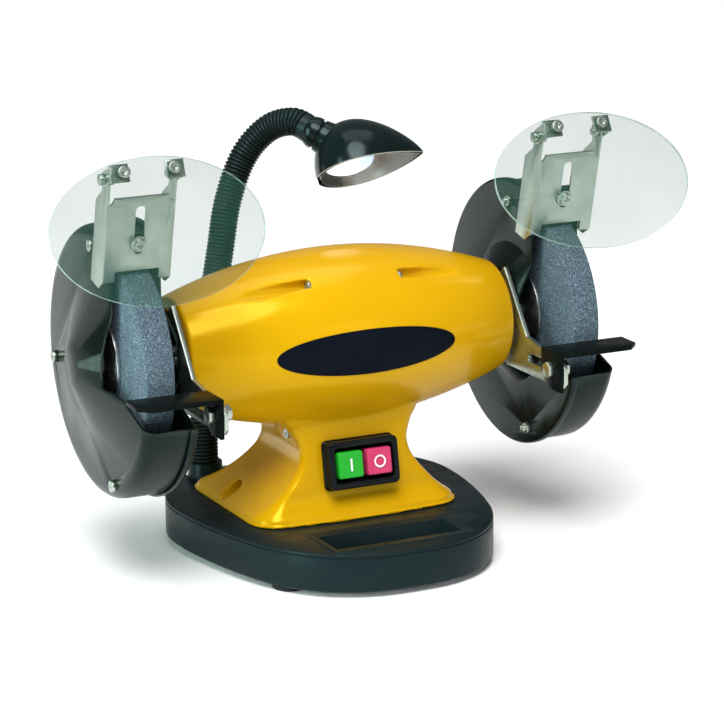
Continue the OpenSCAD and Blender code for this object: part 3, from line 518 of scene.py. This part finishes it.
# neck sections: height below the spindle, half width, front, rear, corner radius, bow of the front
neckRings = [(-30, 52, -38, 38, 12, 0), (-50, 52, -34.5, 37, 12, 0), (-57, 47.5, -33.5, 36, 9, 0),
             (-64, 43.5, -34.5, 36, 7, 0), (-72, 41, -35.9, 38, 6, 0), (-81, 42.3, -37.5, 42, 5, 0),
             (-89, 47, -38.9, 47, 5, 0), (-97, 53.5, -40.3, 53, 5, 0), (-104, 60.5, -41.7, 61, 7, 1),
             (-110, 68, -45.4, 70, 11, 3.5), (-114, 74, -48, 78, 15, 5), (-116, 76, -49.3, 81, 17, 5),
             (baseTop - spindleHeight, 77.5, -50.5, 82, 18, 6)]
# screw pockets of one side: y, height above the spindle, x of the seat, radius
pockets = [(-34, 43.5, 33, 4.6), (34, 43.5, 33, 4.6), (-18, -62, 43, 4.8), (25, -110.5, 54, 6)]


def housingRadius(x):
    return housing["middleRadius"] - housing["taper"] * (x / housing["halfLength"]) ** 2


def neckSection(ring, inset=0):
    height, w, front, rear, corner, bow = ring
    w, front, rear, corner = w - inset, front + inset, rear - inset, max(corner - inset, 1)
    outline = []
    for x, y, start in ((w - corner, front + corner, -90), (w - corner, rear - corner, 0),
                        (corner - w, rear - corner, 90), (corner - w, front + corner, 180)):
        outline += arc(x, y, corner, start, start + 90, 6)
    outline += [((corner - w) * (1 - k / 6), front) for k in range(1, 12)]
    return [(x, y + (bow * (x / w) ** 2 if y < 0 else 0), spindleHeight + height) for x, y in outline]


def barrel(name, steps, inset=0):
    half = housing["halfLength"] - inset
    profile = [(housingRadius(x) - inset, x) for x in (half * math.cos(math.pi * k / 48) for k in range(49))]
    return turned(name, profile, steps)


def neck(name, steps, inset=0):
    return loft(name, [neckSection(ring, inset) for ring in smoothLine(neckRings, steps)])


def makeHousing():
    skin = cut(barrel("housing_skin", 160), neck("neck", 6), "UNION")
    for side in (-1, 1):
        for y, z, x, radius in pockets:
            height = spindleHeight + z
            cut(skin, rod("pocket", radius, (side * x, y, height), (side * 130, y, height)))
    applied(skin, "REMESH", mode="VOXEL", voxel_size=housing["voxel"] * mm)
    applied(skin, "SMOOTH", factor=0.5, iterations=5)
    # the rim that stands on the base is turned out into a small lip, cut flat underneath
    lipTop = baseTop + housing["lip"]

    def spreadLip(b):
        for v in b.verts:
            z = v.co.z / mm
            if baseTop - 4 < z < lipTop:
                v.co.x += 0.9 * mm * max(-1, min(1, v.co.x / mm / 60))
                v.co.y += 0.9 * mm * max(-1, min(1, (v.co.y / mm - 15) / 45))
    work(skin, spreadLip)
    applied(skin, "DECIMATE", ratio=0.45)
    cavity = cut(barrel("cavity", 96, housing["wall"]), neck("neck_cavity", 3, housing["wall"]), "UNION")
    for side in (-1, 1):
        for y, z, x, radius in pockets:
            height = spindleHeight + z
            cut(cavity, rod("pocket_tube", radius + housing["pocketWall"], (side * (x - 3), y, height),
                            (side * 130, y, height)))
    cut(skin, cavity)
    # the open foot, its flat underside, the round ends and the window for the switch
    cut(skin, loft("mouth", [rectangle(housing["openX"], *housing["openY"], z)
                             for z in (baseTop - 9, baseTop + 4)]))
    cut(skin, loft("flat", [rectangle(120, -120, 120, z) for z in (baseTop - 12, baseTop)]))
    cut(skin, rod("nose_hole", housing["noseRadius"], (-140, 0, spindleHeight), (140, 0, spindleHeight), 64))
    cut(skin, loft("switch_hole", [[(x, y, z) for x, z in ((-24.5, 53), (24.5, 53), (24.5, 84), (-24.5, 84))]
                                   for y in (-60, -25)]))
    for name, keep in (("housing_left", -1), ("housing_right", 1)):
        half = newObject(name + "_shell", skin.data.copy())

        def split(b):
            geometry = b.verts[:] + b.edges[:] + b.faces[:]
            made = bmesh.ops.bisect_plane(b, geom=geometry, plane_co=(0, 0, 0), plane_no=(-keep, 0, 0),
                                          clear_outer=True)
            edges = [e for e in made["geom_cut"] if isinstance(e, bmesh.types.BMEdge)]
            bmesh.ops.holes_fill(b, edges=edges, sides=0)
        work(half, split)
        shaded(half, 42)
        standIn(half, name)
    bpy.data.objects.remove(skin)


makeHousing()
print("housing made")


# base with its swarf tray

base = {"foot": 4, "wall": 3, "edge": 1.2, "groove": 0.7, "trayTop": (53, -114, -65.5),
        "trayMouth": (48, -104, -72), "trayFloor": 15, "trayRim": 0.9, "rimWidth": 1.2, "boltAt": (70, 76),
        "boltHole": 3.3, "boltBoss": 10, "lampAt": (-58, 95), "lampBoss": 13, "wireWay": 6,
        "cordAt": (62, 17), "cordWay": 7, "cordBlock": ((52, 104), (72, 104), (72, 116.5), (52, 116.5))}
baseHalf = [(0, -128), (27, -126), (53, -115.5), (73, -97), (87, -72), (95.5, -46), (102.5, -14), (107, 20),
            (106.5, 49), (98.5, 73), (86, 93), (68, 107), (38, 115.5)]


def makeBase():
    outline = smoothRing(baseHalf + [(0, 117)] + [(-x, y) for x, y in reversed(baseHalf[1:])], 8)
    bottom, top = base["foot"], baseTop
    edge, groove = base["edge"], base["groove"]
    levels = [(bottom, edge), (bottom + edge, 0), (top - 3.2, 0), (top - 3.0, groove), (top - 2.2, groove),
              (top - 2.0, 0), (top - edge, 0), (top - edge * 0.3, edge * 0.3), (top, edge)]
    skin = loft("base_shell", [[(x, y, z) for x, y in inward(outline, d)] for z, d in levels])
    cut(skin, loft("hollow", [[(x, y, z) for x, y in inward(outline, base["wall"])]
                              for z in (bottom - 5, top - base["wall"])]))
    # the tray: walls, a raised frame with a bevel on its inside, and the opening
    tx, t0, t1 = base["trayTop"]
    mx, m0, m1 = base["trayMouth"]
    rim, inner, floor = base["trayRim"], base["rimWidth"], base["trayFloor"]
    cut(skin, loft("tray_body", [rectangle(mx + 3, m0 - 3, m1 + 3, z)
                                 for z in (floor - 3, top - 1)]), "UNION")
    cut(skin, loft("tray_frame", [rectangle(tx + rim, t0 - rim, t1 + rim, top - 0.5),
                                  rectangle(tx, t0, t1, top + rim)]), "UNION")
    cut(skin, loft("tray_rim", [rectangle(mx, m0, m1, top - 0.6)]
                   + [rectangle(tx - inner, t0 + inner, t1 - inner, z) for z in (top + rim, top + 4)]))
    cut(skin, loft("tray_mouth", [rectangle(mx - 1.5, m0 + 1.5, m1 - 1.5, floor),
                                  rectangle(mx - 0.6, m0 + 0.6, m1 - 0.6, top + 3)]))
    boltX, boltY = base["boltAt"]
    for x in (-boltX, boltX):
        for y in (-boltY, boltY):
            cut(skin, rod("boss", base["boltBoss"], (x, y, bottom + 2), (x, y, top - 1)), "UNION")
            cut(skin, rod("bolt_hole", base["boltHole"], (x, y, -1), (x, y, bottom + 18)))
    x, y = base["lampAt"]
    cut(skin, rod("lamp_boss", base["lampBoss"], (x, y, bottom + 2), (x, y, top - 1)), "UNION")
    cut(skin, rod("wire_way", base["wireWay"], (x, y, -1), (x, y, top + 2)))
    cut(skin, loft("cord_block", [[(x, y, z) for x, y in base["cordBlock"]]
                                  for z in (bottom + 3, top - 2)]), "UNION")
    cordX, cordZ = base["cordAt"]
    cut(skin, rod("cord_way", base["cordWay"], (cordX, 100, cordZ), (cordX, 130, cordZ)))
    softened(skin, 0.45, 38)
    standIn(skin, "base")


makeBase()
print("base made")


# switch buttons with a raised mark each

switch = {"place": (0, -37.9, 68.5), "lean": 10, "top": 12.8, "half": 9.2, "corner": 1.6, "foot": -5,
          "apart": 10.8, "mark": 0.35, "markSize": 4.4, "ringHole": 3.2}


def onSwitch(x, y, z):
    lean = math.radians(90 - switch["lean"])
    px, py, pz = switch["place"]
    return (px + x, py + y * math.cos(lean) - z * math.sin(lean),
            pz + y * math.sin(lean) + z * math.cos(lean))


def roundSquare(x, half, corner, z):
    points = []
    for sx, sy, start in ((1, -1, -90), (1, 1, 0), (-1, 1, 90), (-1, -1, 180)):
        points += arc(x + sx * (half - corner), sy * (half - corner), corner, start, start + 90, 5)
    return [onSwitch(px, py, z) for px, py in points]


def makeButton(node, x, mark):
    top, half, corner = switch["top"], switch["half"], switch["corner"]
    levels = [(switch["foot"], half), (top - 1.3, half), (top - 0.5, half - 0.25), (top - 0.1, half - 0.7),
              (top, half - 1.3), (top - 0.35, half - 3.2)]
    piece = loft(node + "_cap", [roundSquare(x, h, corner, z) for z, h in levels])
    piece.data.materials.append(finish[slotOf[node]])
    cut(piece, mark, "UNION")
    shaded(piece, 28)
    low = onSwitch(x, 0, top + 0.12)
    face = Vector(onSwitch(0, 0, 1)) - Vector(onSwitch(0, 0, 0))
    paintSome(piece, "mark_paint", lambda f: (f.center / mm - Vector(low)).dot(face) > 0)
    standIn(piece, node)


def ringPoints(x, radius, z, steps=40):
    return [onSwitch(x + radius * math.cos(a), radius * math.sin(a), z)
            for a in (2 * math.pi * k / steps for k in range(steps))]


def makeButtons():
    top, tall, x = switch["top"], switch["markSize"], switch["apart"]
    ends = (top - 1, top + switch["mark"])
    barCorners = ((-0.7, -tall), (0.7, -tall), (0.7, tall), (-0.7, tall))
    bar = loft("bar", [[onSwitch(px - x, y, z) for px, y in barCorners] for z in ends])
    ring = cut(loft("ring", [ringPoints(x, tall, z) for z in ends]),
               loft("ring_hole", [ringPoints(x, switch["ringHole"], z) for z in (top - 3, ends[1] + 1)]))
    makeButton("on_button", -x, bar)
    makeButton("off_button", x, ring)


makeButtons()
print("buttons made")


# flexible arm: a ribbed tube in four lengths

hose = {"radius": 10, "groove": 1.5, "pitch": 2.7, "around": 28, "perRib": 6, "bend": 11, "plainFrom": 8.55,
        "points": [(-58, 95, 31.4), (-58.5, 95, 61.5), (-57, 95, 101.5), (-51, 95, 151.5), (-43, 95, 196.5),
                   (-36.5, 94.5, 231.5), (-24.5, 92, 263), (-9, 84, 282.5), (4, 70, 288.5), (12, 58, 283.5)]}


def hoseLine():
    # even steps along the centre line, each with the number of given points passed so far
    fine = [Vector(p) for p in smoothLine(hose["points"], 40)]
    step = hose["pitch"] / hose["perRib"]
    line, left = [(fine[0], 0.0)], step
    for i in range(1, len(fine)):
        a, b = fine[i - 1], fine[i]
        length = (b - a).length
        while left <= length:
            line.append((a.lerp(b, left / length), (i - 1 + left / length) / 40))
            left += step
        left -= length
    return line


def makeHose():
    line = hoseLine()
    # node, first and last given point, the point it bends at, and the bodies on each side of the bend
    lengths = (("hose_base", 0, 3.5, 2, "frame", "arm_low"),
               ("hose_lower", 3.5, 6, 5, "arm_low", "arm_middle"),
               ("hose_middle", 6, 8, 7, "arm_middle", "arm_top"),
               ("hose_upper", 8, 9, None, "arm_top", None))
    for node, start, end, bend, first, second in lengths:
        rings = []
        for i, (place, at) in enumerate(line):
            if not start - 0.02 <= at <= end + 0.02:
                continue
            ahead = (line[min(i + 1, len(line) - 1)][0] - line[max(i - 1, 0)][0]).normalized()
            wave = abs(math.cos(math.pi * i / hose["perRib"])) ** 0.7
            radius = hose["radius"] - hose["groove"] * (1 - wave)
            if at > hose["plainFrom"]:
                radius = hose["radius"] - 0.2
            rings.append(ringAround(place, ahead, radius, hose["around"]))
        piece = shaded(loft(node + "_tube", rings), 60)
        piece.data.materials.append(finish["hose_plastic"])
        if bend is None:
            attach(piece, first)
        else:
            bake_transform(piece)
        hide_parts(node)


makeHose()
print("hose made")


# lamp head: pointed shade with a pale rim, reflector, lamp glass and the collar on the arm

# neck is the collar: (distance along it, radius)
lamp = {"tip": (14, 52, 246.9), "yaw": -25.9, "pitch": 15.8, "roll": -25, "length": 77.5, "radius": 37,
        "wall": 1.8, "glass": (25, 0, 8), "glassSize": (18, 20, 7.5), "neckAim": (33, 44, 269.5),
        "neck": ((-2.2, 9.2), (0, 10.6), (2.5, 11.4), (5, 11.5), (5.5, 10.3), (6.5, 10.3), (7, 11.6),
                 (12, 12.4), (17, 14.5), (21, 15.5))}
lampTurn = (Matrix.Rotation(math.radians(lamp["yaw"]), 3, "Z")
            @ Matrix.Rotation(math.radians(-lamp["pitch"]), 3, "Y")
            @ Matrix.Rotation(math.radians(lamp["roll"]), 3, "X"))


def onLamp(x, y, z):
    return Vector(lamp["tip"]) + lampTurn @ Vector((x, y, z))


def shadeRadius(t):
    return lamp["radius"] * math.sin(math.pi * t ** 0.72) ** (0.6 + 0.12 * t)


def shadeShell(name, offset, wall):
    # half an egg, open below; its rings are closer together towards both ends
    rings = []
    for i in range(41):
        t = 0.004 + 0.992 * (1 - math.cos(math.pi * i / 40)) / 2
        outer = max(shadeRadius(t) - offset, 0.5 + 0.02 * (40 - i))
        inner = max(outer - wall, 0.2)
        x = offset + (lamp["length"] - 2 * offset) * t
        angles = [math.pi * k / 28 for k in range(29)]
        rings.append([onLamp(x, -outer * math.cos(a), outer * math.sin(a)) for a in angles]
                     + [onLamp(x, -inner * math.cos(a), inner * math.sin(a)) for a in reversed(angles)])
    return loft(name, rings)


def makeShade():
    shade = shaded(shadeShell("shade", 0, lamp["wall"]), 40)
    shade.data.materials.append(finish["lamp_plastic"])
    flat = lampTurn @ Vector((0, 0, 1))
    tip = Vector(lamp["tip"])
    paintSome(shade, "rim_paint",
              lambda f: (f.center / mm - tip).dot(flat) < 0.05 and abs(f.normal.dot(flat)) > 0.8)
    standIn(shade, "lamp_shade")
    standIn(shaded(shadeShell("reflector", 2.4, 0.6), 40), "lamp_reflector")


def makeGlass():
    (cx, cy, cz), (rx, ry, rz) = lamp["glass"], lamp["glassSize"]
    rings = []
    for i in range(1, 16):
        a = math.pi * i / 16
        rings.append([onLamp(cx + rx * math.sin(a) * math.cos(b), cy + ry * math.sin(a) * math.sin(b),
                             cz - rz * math.cos(a)) for b in (2 * math.pi * k / 40 for k in range(40))])
    standIn(shaded(loft("glass", rings), 60), "bulb")


def makeCollar():
    # it starts along the arm and turns towards the shade
    end = Vector(hose["points"][-1])
    come = (end - Vector(hose["points"][-2])).normalized()
    go = (Vector(lamp["neckAim"]) - end).normalized()
    rings = []
    for along, radius in lamp["neck"]:
        way = come.lerp(go, max(0, min(1, (along + 2) / 6))).normalized()
        rings.append(ringAround(end + (go if along > 0 else come) * along, way, radius, 40))
    collar = loft("collar", rings)
    cut(collar, shadeShell("shade_room", 1.0, 99))
    standIn(shaded(collar, 32), "lamp_collar")


makeShade()
makeGlass()
makeCollar()
print("lamp head made")


# every other part that shows keeps its CAD shape, with its edges broken by this much

edgeOf = {"bottom_plate": 0.2, "feet": 0.5, "cord_grommet": 0.4, "switch_frame": 0.6, "tool_rest_left": 0.45,
          "tool_rest_right": 0.45, "rest_arm_left": 0.3, "rest_arm_right": 0.3, "bracket_left": 0.25,
          "bracket_right": 0.25, "clips_left": 0.3, "clips_right": 0.3, "bracket_screws": 0.25,
          "rest_bolt_left": 0.3, "rest_bolt_right": 0.3, "spindle_nuts": 0.4, "outer_flanges": 0.3,
          "inner_flanges": 0.3, "lamp_socket": 0.4, "housing_screws": 0.25, "cover_screws": 0.25,
          "guard_bolts": 0.25, "wheel_left": 0.5, "wheel_right": 0.5, "guard_cover_left": 0.4,
          "guard_cover_right": 0.4, "inner_guard_left": 0.4, "inner_guard_right": 0.4, "decal": 0.12,
          "shield_left": 0.35, "shield_right": 0.35}


def finishSmallParts():
    for node, width in edgeOf.items():
        piece = rounded(node, width)
        if node.startswith("shield"):
            facing = max(piece.data.polygons, key=lambda f: f.area).normal.copy()
            paintSome(piece, "shield_rim", lambda f: abs(f.normal.dot(facing)) < 0.8)


finishSmallParts()
print("small parts finished")
